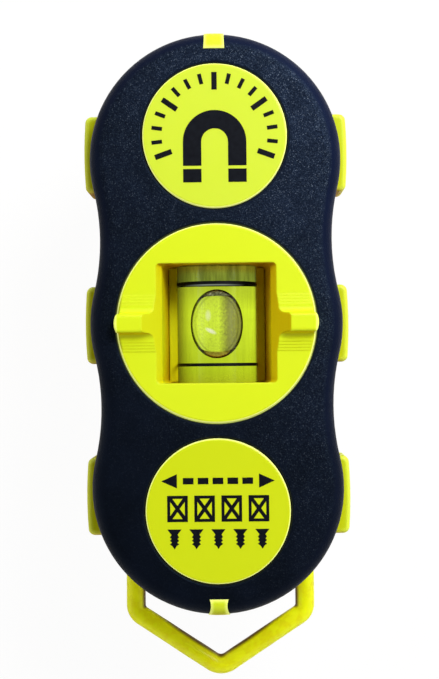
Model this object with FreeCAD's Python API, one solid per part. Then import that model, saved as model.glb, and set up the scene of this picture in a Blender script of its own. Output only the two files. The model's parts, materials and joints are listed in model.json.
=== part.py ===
import FreeCAD, Part
import math
import os

# Pocket magnetic stud finder with a built-in level.
# Row frame, millimetres: the flat back that slides over the wall lies on z = 0, the front face looks
# along +Z, the long axis is Y with the hanging bail at the -Y end, and X is across the body.
# Each function builds one sub-part, and the table at the end names and exports them.

V = FreeCAD.Vector
X_AXIS, Y_AXIS, Z_AXIS = V(1, 0, 0), V(0, 1, 0), V(0, 0, 1)

# ---- body outline, seen from the front: three lobes joined by shallow waists ----
END_RADIUS = 17.95  # radius of the two end lobes
END_Y = 23.47  # distance of each end lobe's centre from the origin
MID_HALF_WIDTH = 18.04  # half width across the middle lobe
WAIST_HALF_WIDTH = 16.59  # half width at the narrowest place
WAIST_RADIUS = 31.5  # hollow radius of each waist

# ---- heights ----
FACE_Z = 20.0  # front face of the cover
SPLIT_Z = 6.0  # lower edge of the cover
COVER_TOP = 2.2  # thickness of the cover's front wall
COVER_WALL = 1.8  # thickness of the cover's skirt
COVER_ROUND = 2.2  # rounding of the cover's front rim
FLOOR = 1.6  # thickness of the housing's back wall
HOUSING_ROUND = 1.2  # rounding of the housing's back rim
RIM_GAP = 0.12  # parting line between the cover and the housing
LINER_INSET = 2.0  # outer face of the liner wall that stands inside the cover
LINER_WALL = 1.2
LINER_TOP = 13.4
OPENING_ROUND = 0.3  # rounding round the dial's and the discs' openings
EPS = 1.0  # how far a cutting tool runs past what it cuts
ROOT = 0.5  # how far a boss or post runs into the wall that it grows from
FIT = 0.02  # gap between pieces that touch

# ---- finger pads on both sides, and the centre marks at both ends ----
PAD_REACH = 19.25  # half width across the pads
PAD_LENGTH = 11.3
PAD_BASE_Z = 4.9
PAD_TOP_Z = 13.4
PAD_ROUND = 0.95
PAD_EDGE_ROUND = 0.6
PAD_BULGE = 0.25  # how far a pad's outer face swells from its ends to its middle
PAD_GAP = 0.15
PAD_PITCH = 25.0  # spacing of the three pads on each side
PAD_ROOT_X = 14.0
UPPER_MARK = (1.5, 1.42, 1.42)  # half widths: inner end, middle, rim
LOWER_MARK = (1.32, 1.18, 1.54)
MARK_DEPTH = 2.4  # how far a mark runs in over the front face
MARK_PROUD = 0.12
MARK_GAP = 0.03

# ---- printed discs let into the cover above and below the level ----
DISC_Y = 26.6
DISC_RADIUS = 10.26
DISC_GAP = 0.2
DISC_THICK = 1.15
DISC_PROUD = 0.12
DISC_ROUND = 0.25
PEG_RADIUS = 0.8
PEG_LENGTH = 0.9
PEG_X = 5.0
PEG_CLEARANCE = 0.05

# ---- turning level dial ----
DIAL_RADIUS = 14.1
DIAL_FACE_Z = 20.3
DIAL_GAP = 0.25  # visible gap between the dial and the cover
DIAL_ROUND = 0.3
DIAL_BOTTOM_Z = 4.2
FLANGE_RADIUS = 15.2
FLANGE_BOTTOM_Z, FLANGE_TOP_Z = 16.4, 17.7
COLLAR_CLEARANCE = 0.08
COLLAR_RADIUS = 15.7
COLLAR_TOP_Z = 16.32
WINDOW_WIDTH = 17.1
WINDOW_LENGTH = 17.0
WINDOW_CHAMFER = 0.85
WINDOW_SLOPE = 41.0  # degrees from the face, of the window's side chamfers and the wings' inner ends
WINDOW_CORNER = 0.55
LEDGE_Z = 10.9  # the ledges beside the vial, where the window's walls end
LEDGE_HALF_WIDTH = 7.15  # half the window's width at the ledges
WING_TOP_Z = 22.0
WING_HALF_WIDTH = 1.35
WING_TIP_RADIUS = 14.42
WING_END_RADIUS = 2.7  # roundness of a wing's tip, seen from the front
WING_ROUND = 0.5
WING_TIP_ROUND = 0.35
FLANK_WIDTH = 0.95  # the hollow flank of a wing, from its side to the first moulded step
STEP_COUNT = 4
STEP_PITCH = 0.43
STEP_HEIGHT = 0.055
CORE_RADIUS = 12.3  # the hollow inside the dial's wall
CORE_TOP_Z = 16.9
POCKET_WALL = 1.1
SEAT_RADIUS = 12.9
SEAT_TOP_Z = 5.4
SEAT_CLEARANCE = 0.05
RING_GROOVE_RADIUS = 13.2
RING_GROOVE_HALF = 0.6
RING_SECTION = 0.45  # radius of the friction ring's round section
RING_Z = 10.0
STOP_ANGLE = 200.0  # degrees, place of the stop lug at rest
STOP_WIDTH = 8.0  # degrees
STOP_SLACK = 0.6  # degrees
TURN_RANGE = 90.0  # degrees
STOP_RADIUS = 15.0
STOP_DEPTH = 0.7
STOP_CLEARANCE = 0.15

# ---- level vial ----
VIAL_Z = 11.4
VIAL_RADIUS = 5.83
VIAL_HALF_LENGTH = 10.4
BORE_HALF_LENGTH = 8.75
BORE_MID_RADIUS, BORE_END_RADIUS = 4.75, 4.70
VIAL_SEAT = 0.07  # clearance round the vial
VIAL_END_CLEARANCE = 0.1
VIAL_ROUND = 0.3
PLUG_CHAMFER = 0.25
LINE_Y = 5.9  # place of each black line from the vial's middle
LINE_WIDTH = 0.46
LINE_GROOVE = 0.08
LINE_PROUD = 0.03
CRADLE_CLEARANCE = 0.08
BUBBLE_LENGTH = 9.98
BUBBLE_WIDTH = 6.95
BUBBLE_DEPTH = 4.4
BUBBLE_SINK = 0.62  # how far its middle lies under the bore's top, in half depths
BUBBLE_TOP_GAP = 0.12
BUBBLE_TRAVEL = 3.5

# ---- magnets, felt pads, foam ----
MAGNET_Y = DISC_Y
MAGNET_RADIUS = 7.95
MAGNET_THICK = 6.35
MAGNET_ROUND = 0.35
FELT_RADIUS = 9.0
FELT_THICK = 0.5
MAGNET_Z = 1.1
WELL_CLEARANCE = 0.1
WELL_WALL = 1.3
WELL_TOP_Z = 8.4
FOAM_RADIUS = 6.8
FOAM_THICK = 1.5
POST_RADIUS = 3.0
RIB_HALF_LENGTH, RIB_HALF_THICK = 6.0, 0.6
RIB_FOOT_RISE = 3.0
FELT_CLEARANCE = 0.1
FELT_ROUND = 0.15

# ---- housing screws ----
SCREW_X, SCREW_Y = 12.3, 14.5
BOSS_RADIUS = 2.3
SCREW_RADIUS = 1.05
SCREW_HEAD_RADIUS = 2.0
SCREW_HEAD_HEIGHT = 1.3
SCREW_HEAD_Z = 0.55
SCREW_END_Z = 13.0
SCREW_POINT = 1.6
SCREW_TIP_RADIUS = 0.15
SCREW_HEAD_ROUND = 0.7
SCREW_BITE = 0.02  # how much wider the boss's pilot hole is than the thread
SHANK_CLEARANCE = 0.15
HEAD_CLEARANCE = 0.25
PILOT_SPARE = 0.5
COLUMN_RADIUS = 2.6
COLUMN_TOP_Z = SPLIT_Z - RIM_GAP
CROSS_DEPTH, CROSS_ARM, CROSS_WIDTH, CROSS_CONE_RADIUS = 0.85, 1.15, 0.34, 0.62

# ---- hanging bail: a bent steel wire in a yellow vinyl sleeve ----
BAIL_Y, BAIL_Z = -32.0, 3.4  # pivot axis, along X
BAIL_HALF_WIDTH = 12.86
BAIL_TIP_Y = -52.0  # where the two slanting sides would meet
BAIL_SLOPE = 33.4  # degrees
BAIL_CORNER = 2.0
BAIL_TIP_ROUND = 2.4
BAIL_EYE_BEND = 2.0
WIRE_RADIUS = 0.9
WIRE_CLEARANCE = 0.06
SLEEVE_RADIUS = 1.5
SLEEVE_START_X = 10.35
EYE_END_X = 7.4
EYE_BLOCK_X = 10.1
EYE_BLOCK_HALF = 2.2
EYE_END_SPARE = 0.3
SLOT_CLEARANCE = 0.2


def box(x0, x1, y0, y1, z0, z1):
    """A block between two opposite corners."""
    return Part.makeBox(x1 - x0, y1 - y0, z1 - z0, V(x0, y0, z0))


def disc(radius, z0, z1, x=0.0, y=0.0):
    """An upright cylinder."""
    return Part.makeCylinder(radius, z1 - z0, V(x, y, z0))


def arc(start, through, end):
    return Part.Arc(start, through, end).toShape()


def mirror_x(shape):
    return shape.mirror(V(0, 0, 0), X_AXIS)


def mirror_y(shape):
    return shape.mirror(V(0, 0, 0), Y_AXIS)


def four_corners(shape):
    """The shape and its mirror images in the other three quarters."""
    right = [shape, mirror_y(shape)]
    return right + [mirror_x(s) for s in right]


def flat_edges(shape, z, keep=None):
    """The edges that lie in the plane at height z."""
    found = []
    for edge in shape.Edges:
        b = edge.BoundBox
        if abs(b.ZMin - z) < 1e-4 and abs(b.ZMax - z) < 1e-4:
            if keep is None or keep(edge):
                found.append(edge)
    return found


def round_edges_at(shape, z, radius, keep=None):
    return shape.makeFillet(radius, flat_edges(shape, z, keep))


def fuse_all(shapes):
    return shapes[0].fuse(shapes[1:]).removeSplitter()


def one_solid(shape):
    """The largest solid of a shape, cleaned of needless edges."""
    return max(shape.removeSplitter().Solids, key=lambda s: s.Volume)


# ---------------------------------------------------------------- outline


def outline_wire(inset):
    """The body's outline in the plane z = 0, moved inwards by inset, as tangent arcs."""
    waist_x = WAIST_HALF_WIDTH + WAIST_RADIUS
    reach = END_RADIUS + WAIST_RADIUS
    waist_y = END_Y - math.sqrt(reach**2 - waist_x**2)
    a = waist_x - MID_HALF_WIDTH
    mid_radius = (a**2 + waist_y**2 - WAIST_RADIUS**2) / (2 * (WAIST_RADIUS - a))
    end, waist = V(0, END_Y, 0), V(waist_x, waist_y, 0)
    mid = V(MID_HALF_WIDTH - mid_radius, 0, 0)

    def point_towards(centre, target, radius):
        return centre + (target - centre).normalize() * radius

    def flip(p, sx, sy):
        return V(p.x * sx, p.y * sy, 0)

    join_mid = point_towards(mid, waist, mid_radius - inset)
    join_end = point_towards(end, waist, END_RADIUS - inset)
    narrow = V(WAIST_HALF_WIDTH - inset, waist_y, 0)
    side = V(MID_HALF_WIDTH - inset, 0, 0)
    tip = V(0, END_Y + END_RADIUS - inset, 0)
    edges = []
    for sx in (1, -1):
        edges.append(arc(flip(join_mid, sx, -1), flip(side, sx, 1), flip(join_mid, sx, 1)))
        for sy in (1, -1):
            edges.append(arc(flip(join_mid, sx, sy), flip(narrow, sx, sy), flip(join_end, sx, sy)))
    for sy in (1, -1):
        edges.append(arc(flip(join_end, 1, sy), flip(tip, 1, sy), flip(join_end, -1, sy)))
    return Part.Wire(Part.__sortEdges__(edges))


def body_prism(inset, z0, z1):
    """The outline, moved inwards by inset, between two heights."""
    face = Part.Face(outline_wire(inset))
    face.translate(V(0, 0, z0))
    return face.extrude(V(0, 0, z1 - z0))


# ---------------------------------------------------------------- navy front cover


def pad_outline(grow):
    """A pad seen from the front, at y = 0 on the +X side, grown by a clearance.

    Its outer side is a shallow arc, which runs into the round corners without a kink."""
    half, corner_radius = PAD_LENGTH / 2 + grow, PAD_ROUND + grow
    bulge_radius = (half**2 + PAD_BULGE**2) / (2 * PAD_BULGE)
    side_x = PAD_REACH + grow
    bulge_centre = V(side_x - bulge_radius, 0, 0)
    corner_y = half - corner_radius
    corner_x = bulge_centre.x + math.sqrt((bulge_radius - corner_radius) ** 2 - corner_y**2)
    h = math.sqrt(0.5)
    join = bulge_centre + (V(corner_x, corner_y, 0) - bulge_centre).normalize() * bulge_radius
    edges = [
        arc(V(join.x, -join.y, 0), V(side_x, 0, 0), join),
        Part.makeLine(V(PAD_ROOT_X, -half, 0), V(PAD_ROOT_X, half, 0)),
    ]
    for s in (1, -1):
        start, end = V(join.x, s * join.y, 0), V(corner_x, s * half, 0)
        middle = V(corner_x + corner_radius * h, s * (corner_y + corner_radius * h), 0)
        edges += [arc(start, middle, end), Part.makeLine(end, V(PAD_ROOT_X, s * half, 0))]
    return Part.Face(Part.Wire(Part.__sortEdges__(edges)))


def pad_notch():
    """Clearance in the cover's skirt for one finger pad, open at the skirt's lower edge."""
    room = pad_outline(PAD_GAP)
    room.translate(V(0, 0, SPLIT_Z - EPS))
    return room.extrude(V(0, 0, PAD_TOP_Z + PAD_GAP - SPLIT_Z + EPS))


def mark_strip(widths, grow):
    """The strip of a centre mark at the +Y end, full height, grown by a clearance."""
    inner, waist, rim = [w + grow for w in widths]
    tip = END_Y + END_RADIUS
    y_in, y_mid = tip - MARK_DEPTH - grow, tip - MARK_DEPTH / 2
    edges = [Part.makeLine(V(-inner, y_in, 0), V(inner, y_in, 0))]
    for s in (1, -1):
        edges.append(arc(V(s * inner, y_in, 0), V(s * waist, y_mid, 0), V(s * rim, tip, 0)))
        edges.append(Part.makeLine(V(s * rim, tip, 0), V(s * rim, tip + EPS, 0)))
    edges.append(Part.makeLine(V(-rim, tip + EPS, 0), V(rim, tip + EPS, 0)))
    strip = Part.Face(Part.Wire(Part.__sortEdges__(edges)))
    strip.translate(V(0, 0, SPLIT_Z - EPS))
    return strip.extrude(V(0, 0, FACE_Z - SPLIT_Z + 2 * EPS))


def both_marks(build):
    """A centre mark's shape at the +Y end, and the other mark's at the -Y end."""
    return [build(UPPER_MARK), mirror_y(build(LOWER_MARK))]


def at_both_ends(shape):
    return [shape, mirror_y(shape)]


def at_all_pads(shape):
    """Copies of a +X, y = 0 shape at the six pad places."""
    row = []
    for y in (-PAD_PITCH, 0.0, PAD_PITCH):
        copy = shape.copy()
        copy.translate(V(0, y, 0))
        row.append(copy)
    return row + [mirror_x(s) for s in row]


def magnet_post():
    """The post behind the upper disc that holds the magnet down, with its four ribs."""
    ceiling = FACE_Z - COVER_TOP + ROOT
    foot = MAGNET_Z + MAGNET_THICK + FOAM_THICK
    rib_foot, long, thin = foot + RIB_FOOT_RISE, RIB_HALF_LENGTH, RIB_HALF_THICK
    return fuse_all([
        disc(POST_RADIUS, foot, ceiling, 0, MAGNET_Y),
        box(-long, long, MAGNET_Y - thin, MAGNET_Y + thin, rib_foot, ceiling),
        box(-thin, thin, MAGNET_Y - long, MAGNET_Y + long, rib_foot, ceiling),
    ])


def is_round_opening(edge):
    """True for the rims of the dial's and the discs' openings."""
    if not isinstance(edge.Curve, Part.Circle):
        return False
    return any(abs(edge.Curve.Radius - r) < 1e-3 for r in (DIAL_RADIUS + DIAL_GAP, DISC_RADIUS + DISC_GAP))


def front_cover():
    ceiling = FACE_Z - COVER_TOP
    shell = body_prism(0, SPLIT_Z, FACE_Z)
    shell = round_edges_at(shell, FACE_Z, COVER_ROUND)
    hollow = body_prism(COVER_WALL, SPLIT_Z - EPS, ceiling)
    hollow = round_edges_at(hollow, ceiling, COVER_WALL / 2)
    bosses = four_corners(disc(BOSS_RADIUS, COLUMN_TOP_Z + RIM_GAP, ceiling + ROOT, SCREW_X, SCREW_Y))
    shell = fuse_all([shell.cut(hollow)] + bosses + at_both_ends(magnet_post()))

    recess = disc(DISC_RADIUS + DISC_GAP, FACE_Z + DISC_PROUD - DISC_THICK, FACE_Z + EPS, 0, DISC_Y)
    pilot = disc(SCREW_RADIUS + SCREW_BITE, SPLIT_Z - EPS, SCREW_END_Z + PILOT_SPARE, SCREW_X, SCREW_Y)
    peg_hole = disc(PEG_RADIUS + PEG_CLEARANCE, ceiling - EPS, FACE_Z, PEG_X, DISC_Y)
    cuts = [disc(DIAL_RADIUS + DIAL_GAP, SPLIT_Z, FACE_Z + EPS)]
    cuts += at_both_ends(recess) + both_marks(lambda widths: mark_strip(widths, MARK_GAP))
    cuts += four_corners(pilot) + four_corners(peg_hole) + at_all_pads(pad_notch())
    shell = one_solid(shell.cut(cuts))
    return round_edges_at(shell, FACE_Z, OPENING_ROUND, is_round_opening)


# ---------------------------------------------------------------- yellow housing


def finger_pad():
    """One side pad, at y = 0 on the +X side, with its front and back rims rounded."""
    pad = pad_outline(0)
    pad.translate(V(0, 0, PAD_BASE_Z))
    pad = pad.extrude(V(0, 0, PAD_TOP_Z - PAD_BASE_Z))

    def is_outside(edge):
        return edge.BoundBox.XMax > PAD_ROOT_X + EPS

    for z in (PAD_BASE_Z, PAD_TOP_Z):
        pad = round_edges_at(pad, z, PAD_EDGE_ROUND, is_outside)
    return pad


def centre_mark(widths):
    """A mark that follows the cover's rounded rim, a little proud of it."""
    skin = body_prism(-MARK_PROUD, SPLIT_Z - EPS, FACE_Z + MARK_PROUD)
    skin = round_edges_at(skin, FACE_Z + MARK_PROUD, COVER_ROUND)
    return mark_strip(widths, 0).common(skin)


def bail_slot():
    """Room in the housing for one leg of the bail and its swing to the rear, on the +X side.

    It is open to the side and the end, so that the sprung wire can be hooked into its eye."""
    room = SLEEVE_RADIUS + SLOT_CLEARANCE
    far = END_Y + END_RADIUS + EPS
    slot = box(EYE_BLOCK_X, far, -far, BAIL_Y + room, -EPS, BAIL_Z + room)
    inner_top = [e for e in flat_edges(slot, BAIL_Z + room) if e.BoundBox.YMin > BAIL_Y]
    return slot.makeFillet(room * 0.8, inner_top)


def ring_sector(inner, outer, z0, z1, start, sweep):
    """Part of a flat ring, from one angle in degrees through another."""
    sector = Part.makeCylinder(outer, z1 - z0, V(0, 0, z0), Z_AXIS, sweep)
    sector = sector.cut(disc(inner, z0, z1))
    sector.rotate(V(0, 0, 0), Z_AXIS, start)
    return sector


def stop_track():
    """The quarter-turn groove in the collar's top that the dial's stop lug runs in."""
    lead = STOP_WIDTH / 2 + STOP_SLACK
    start, sweep = STOP_ANGLE - lead, TURN_RANGE + 2 * lead
    foot, mouth = COLLAR_TOP_Z - STOP_DEPTH - STOP_CLEARANCE, COLLAR_TOP_Z + EPS
    return ring_sector(DIAL_RADIUS - EPS, STOP_RADIUS + STOP_CLEARANCE, foot, mouth, start, sweep)


def bail_eye():
    """The block on the +X side that the bail's bent-in end turns in."""
    low_y, high_y = BAIL_Y - EYE_BLOCK_HALF, BAIL_Y + EYE_BLOCK_HALF
    return box(EYE_END_X, EYE_BLOCK_X, low_y, high_y, FLOOR / 2, BAIL_Z + EYE_BLOCK_HALF)


def wire_hole():
    length = EYE_BLOCK_X - EYE_END_X + EPS
    start = V(EYE_END_X - EYE_END_SPARE, BAIL_Y, BAIL_Z)
    return Part.makeCylinder(WIRE_RADIUS + WIRE_CLEARANCE, length, start, X_AXIS)


def rear_housing():
    rim = body_prism(0, 0, SPLIT_Z - RIM_GAP)
    rim = round_edges_at(rim, 0, HOUSING_ROUND)
    liner = body_prism(LINER_INSET, SPLIT_Z - EPS, LINER_TOP)
    tray = rim.fuse(liner).cut(body_prism(LINER_INSET + LINER_WALL, FLOOR, LINER_TOP + EPS))

    well_radius = MAGNET_RADIUS + WELL_CLEARANCE
    wells = at_both_ends(disc(well_radius + WELL_WALL, FLOOR / 2, WELL_TOP_Z, 0, MAGNET_Y))
    columns = four_corners(disc(COLUMN_RADIUS, FLOOR / 2, COLUMN_TOP_Z, SCREW_X, SCREW_Y))
    collar = disc(COLLAR_RADIUS, FLOOR / 2, COLLAR_TOP_Z)
    eyes = [bail_eye(), mirror_x(bail_eye())]
    outside = both_marks(centre_mark) + at_all_pads(finger_pad())
    tray = fuse_all([tray, collar] + wells + columns + eyes + outside)

    head_top = SCREW_HEAD_Z + SCREW_HEAD_HEIGHT
    screw_room = [
        disc(BOSS_RADIUS + HEAD_CLEARANCE, COLUMN_TOP_Z, LINER_TOP + EPS, SCREW_X, SCREW_Y),
        disc(SCREW_RADIUS + SHANK_CLEARANCE, -EPS, LINER_TOP, SCREW_X, SCREW_Y),
        disc(SCREW_HEAD_RADIUS + HEAD_CLEARANCE, -EPS, head_top, SCREW_X, SCREW_Y),
    ]
    cuts = [disc(DIAL_RADIUS + COLLAR_CLEARANCE, FLOOR, COLLAR_TOP_Z + EPS), stop_track()]
    cuts += at_both_ends(disc(well_radius, MAGNET_Z, LINER_TOP, 0, MAGNET_Y))
    cuts += at_both_ends(disc(FELT_RADIUS + FELT_CLEARANCE, -EPS, FELT_THICK, 0, MAGNET_Y))
    for room in screw_room:
        cuts += four_corners(room)
    cuts += [bail_slot(), mirror_x(bail_slot()), wire_hole(), mirror_x(wire_hole())]
    return one_solid(tray.cut(cuts))


# ---------------------------------------------------------------- printed discs


def face_disc(y):
    top = FACE_Z + DISC_PROUD
    back = top - DISC_THICK
    plate = disc(DISC_RADIUS, back + FIT, top, 0, y)
    plate = round_edges_at(plate, top, DISC_ROUND)
    pegs = [disc(PEG_RADIUS, back - PEG_LENGTH, back + ROOT, x, y) for x in (-PEG_X, PEG_X)]
    return fuse_all([plate] + pegs)


# ---------------------------------------------------------------- level dial


def wing_profile():
    """Half of a wing's cross-section from its middle outwards, as points and arcs in (y, height)."""
    top = WING_TOP_Z - DIAL_FACE_Z
    shoulder = top - WING_ROUND
    foot_height = STEP_COUNT * STEP_HEIGHT
    h = math.sqrt(0.5)
    side, flank_end = WING_HALF_WIDTH, WING_HALF_WIDTH + FLANK_WIDTH
    rise = shoulder - foot_height
    flank_radius = (FLANK_WIDTH**2 + rise**2) / (2 * rise)
    half_turn = math.atan2(FLANK_WIDTH, flank_radius - rise) / 2
    bend_y = flank_end - flank_radius * math.sin(half_turn)
    bend_z = foot_height + flank_radius * (1 - math.cos(half_turn))
    edge_start, edge_middle = side - WING_ROUND, (side - WING_ROUND * (1 - h), shoulder + WING_ROUND * h)
    runs = [
        [(0, top), (edge_start, top)],
        [(edge_start, top), edge_middle, (side, shoulder)],
        [(side, shoulder), (bend_y, bend_z), (flank_end, foot_height)],
    ]
    y, z = flank_end, foot_height
    for _ in range(STEP_COUNT):
        runs.append([(y, z), (y + STEP_PITCH - STEP_HEIGHT, z)])
        runs.append([(y + STEP_PITCH - STEP_HEIGHT, z), (y + STEP_PITCH, z - STEP_HEIGHT)])
        y, z = y + STEP_PITCH, z - STEP_HEIGHT
    runs.append([(y, z), (y, -EPS / 2)])
    return runs


def ridge(runs, tip_radius):
    """A +X ridge along X with a mirrored cross-section, ending on a round tip."""
    x0 = WINDOW_WIDTH / 2 - EPS * 1.5
    edges, foot = [], runs[-1][-1]
    for s in (1, -1):
        for run in runs:
            points = [V(x0, s * y, DIAL_FACE_Z + z) for y, z in run]
            edges.append(arc(*points) if len(points) == 3 else Part.makeLine(*points))
    edges.append(Part.makeLine(V(x0, -foot[0], DIAL_FACE_Z + foot[1]), V(x0, foot[0], DIAL_FACE_Z + foot[1])))
    profile = Part.Face(Part.Wire(Part.__sortEdges__(edges)))
    return profile.extrude(V(tip_radius, 0, 0)).common(disc(tip_radius, DIAL_FACE_Z - EPS, WING_TOP_Z + EPS))


def dial_wing():
    """The +X finger wing: a rounded bar that just passes the dial's rim, on a stepped hollow base."""
    runs = wing_profile()
    shoulder = WING_TOP_Z - DIAL_FACE_Z - WING_ROUND
    end_x = WING_TIP_RADIUS - WING_END_RADIUS
    end_room = disc(WING_END_RADIUS, DIAL_FACE_Z, WING_TOP_Z + EPS, end_x)
    end_room = end_room.fuse(box(0, end_x, -WING_END_RADIUS, WING_END_RADIUS, DIAL_FACE_Z, WING_TOP_Z + EPS))
    bar = ridge(runs[:2] + [[(WING_HALF_WIDTH, shoulder), (WING_HALF_WIDTH, FIT)]], WING_TIP_RADIUS)
    bar = one_solid(bar.common(end_room))
    side_end = end_x + math.sqrt(WING_END_RADIUS**2 - WING_HALF_WIDTH**2)
    tip_edges = []
    for edge in bar.Edges:
        if min(v.X for v in edge.Vertexes) > side_end - 1e-4 and edge.BoundBox.ZMax > DIAL_FACE_Z + EPS / 2:
            tip_edges.append(edge)
    return [ridge(runs, DIAL_RADIUS - DIAL_ROUND), bar.makeFillet(WING_TIP_ROUND, tip_edges)]


def round_box_wire(half_x, half_y, z):
    """A rectangle with round corners."""
    r, h = WINDOW_CORNER, WINDOW_CORNER * (1 - math.sqrt(0.5))
    edges = []
    for sx, sy in ((1, 1), (-1, 1), (-1, -1), (1, -1)):
        start, end = V(sx * half_x, sy * (half_y - r), z), V(sx * (half_x - r), sy * half_y, z)
        edges.append(arc(start, V(sx * (half_x - h), sy * (half_y - h), z), end))
    for s in (1, -1):
        edges.append(Part.makeLine(V(-(half_x - r), s * half_y, z), V(half_x - r, s * half_y, z)))
        edges.append(Part.makeLine(V(s * half_x, -(half_y - r), z), V(s * half_x, half_y - r, z)))
    return Part.Wire(Part.__sortEdges__(edges))


def window():
    """The window's room, from the ledges beside the vial out past the face.

    Its side walls lean back a little, then slope more near the face. That slope goes on above the
    face, where it trims the wings' inner ends."""
    rise = math.tan(math.radians(WINDOW_SLOPE))
    half, top = WINDOW_WIDTH / 2, WING_TOP_Z + EPS
    sections = [
        (LEDGE_HALF_WIDTH, LEDGE_Z),
        (half - WINDOW_CHAMFER, DIAL_FACE_Z - WINDOW_CHAMFER * rise),
        (half + (top - DIAL_FACE_Z) / rise, top),
    ]
    wires = [round_box_wire(half_x, WINDOW_LENGTH / 2, z) for half_x, z in sections]
    return Part.makeLoft(wires, True, True)


def stop_lug():
    """The lug under the dial's flange that meets the ends of the stop track."""
    foot, start = COLLAR_TOP_Z - STOP_DEPTH, STOP_ANGLE - STOP_WIDTH / 2
    return ring_sector(DIAL_RADIUS - ROOT, STOP_RADIUS, foot, FLANGE_BOTTOM_Z + ROOT, start, STOP_WIDTH)


def vial_rod(radius, half_length):
    """A bar along the vial's axis."""
    return Part.makeCylinder(radius, 2 * half_length, V(0, -half_length, VIAL_Z), Y_AXIS)


def vial_room(clear_radius, clear_half):
    """The space for the vial, which is put in from the back."""
    below = box(-clear_radius, clear_radius, -clear_half, clear_half, DIAL_BOTTOM_Z - EPS, VIAL_Z)
    return [vial_rod(clear_radius, clear_half), below]


def ring_groove():
    room = disc(DIAL_RADIUS + EPS, RING_Z - RING_GROOVE_HALF, RING_Z + RING_GROOVE_HALF)
    return room.cut(disc(RING_GROOVE_RADIUS, RING_Z - EPS, RING_Z + EPS))


def level_dial():
    drum = disc(DIAL_RADIUS, DIAL_BOTTOM_Z, DIAL_FACE_Z)
    drum = round_edges_at(drum, DIAL_FACE_Z, DIAL_ROUND)
    wings = dial_wing()
    drum = drum.fuse([disc(FLANGE_RADIUS, FLANGE_BOTTOM_Z, FLANGE_TOP_Z), stop_lug()])
    drum = drum.fuse(wings + [mirror_x(wing) for wing in wings])

    pocket_x, pocket_y = WINDOW_WIDTH / 2 - WINDOW_CHAMFER, WINDOW_LENGTH / 2
    vial_x, vial_y = VIAL_RADIUS + VIAL_SEAT, VIAL_HALF_LENGTH + VIAL_END_CLEARANCE
    core = disc(CORE_RADIUS, SEAT_TOP_Z - FIT, CORE_TOP_Z)
    for x, y in ((pocket_x, pocket_y), (vial_x, vial_y)):
        wall_x, wall_y = x + POCKET_WALL, y + POCKET_WALL
        core = core.cut(box(-wall_x, wall_x, -wall_y, wall_y, SEAT_TOP_Z - EPS, CORE_TOP_Z + EPS))
    ledge = LEDGE_HALF_WIDTH
    cradle_room = box(-ledge, ledge, -pocket_y, pocket_y, DIAL_BOTTOM_Z - EPS, LEDGE_Z)
    seat = disc(SEAT_RADIUS + SEAT_CLEARANCE, DIAL_BOTTOM_Z - EPS, SEAT_TOP_Z)
    cuts = [core, cradle_room, window(), ring_groove(), seat]
    return one_solid(drum.cut(cuts + vial_room(vial_x, vial_y)))


def dial_base():
    """The cap in the dial's back, with the cradle that carries the vial."""
    cap = disc(SEAT_RADIUS, DIAL_BOTTOM_Z, SEAT_TOP_Z - FIT)
    x, y = LEDGE_HALF_WIDTH - CRADLE_CLEARANCE, WINDOW_LENGTH / 2 - CRADLE_CLEARANCE
    cradle = box(-x, x, -y, y, DIAL_BOTTOM_Z + ROOT, LEDGE_Z)
    return one_solid(cap.fuse(cradle).cut(vial_rod(VIAL_RADIUS + VIAL_SEAT, VIAL_HALF_LENGTH + EPS)))


def dial_friction_ring():
    major = DIAL_RADIUS + COLLAR_CLEARANCE - RING_SECTION - FIT
    return Part.makeTorus(major, RING_SECTION, V(0, 0, RING_Z), Z_AXIS)


# ---------------------------------------------------------------- level vial


def barrel(grow, half_length):
    """The vial's barrel-shaped bore, widest in the middle, so that the bubble settles there."""
    end_r, mid_r = BORE_END_RADIUS + grow, BORE_MID_RADIUS + grow
    side = arc(V(end_r, -half_length, 0), V(mid_r, 0, 0), V(end_r, half_length, 0))
    lines = [
        Part.makeLine(V(0, -half_length, 0), V(end_r, -half_length, 0)),
        Part.makeLine(V(end_r, half_length, 0), V(0, half_length, 0)),
        Part.makeLine(V(0, half_length, 0), V(0, -half_length, 0)),
    ]
    half_section = Part.Face(Part.Wire(Part.__sortEdges__([side] + lines)))
    solid = half_section.revolve(V(0, 0, 0), Y_AXIS, 360)
    solid.translate(V(0, 0, VIAL_Z))
    return solid


def vial_line(y, outer, inner):
    """A band round the vial."""
    y0 = y - LINE_WIDTH / 2
    band = Part.makeCylinder(outer, LINE_WIDTH, V(0, y0, VIAL_Z), Y_AXIS)
    return band.cut(Part.makeCylinder(inner, LINE_WIDTH, V(0, y0, VIAL_Z), Y_AXIS))


def end_circles(shape):
    return [e for e in shape.Edges if isinstance(e.Curve, Part.Circle)]


def vial_tube():
    tube = vial_rod(VIAL_RADIUS, VIAL_HALF_LENGTH)
    tube = tube.makeFillet(VIAL_ROUND, end_circles(tube))
    mouth_length = VIAL_HALF_LENGTH - BORE_HALF_LENGTH + EPS
    mouth = Part.makeCylinder(BORE_END_RADIUS, mouth_length, V(0, -VIAL_HALF_LENGTH - EPS, VIAL_Z), Y_AXIS)
    grooves = [vial_line(y, VIAL_RADIUS + EPS, VIAL_RADIUS - LINE_GROOVE) for y in (-LINE_Y, LINE_Y)]
    return one_solid(tube.cut([barrel(0, BORE_HALF_LENGTH), mouth] + grooves))


def vial_plug():
    """The round stopper that seals the vial's open end."""
    length = VIAL_HALF_LENGTH - BORE_HALF_LENGTH - FIT
    plug = Part.makeCylinder(BORE_END_RADIUS - FIT, length, V(0, -VIAL_HALF_LENGTH, VIAL_Z), Y_AXIS)
    return plug.makeChamfer(PLUG_CHAMFER, end_circles(plug))


def vial_lines():
    outer, inner = VIAL_RADIUS + LINE_PROUD, VIAL_RADIUS - LINE_GROOVE
    return Part.makeCompound([vial_line(y, outer, inner) for y in (-LINE_Y, LINE_Y)])


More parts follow.
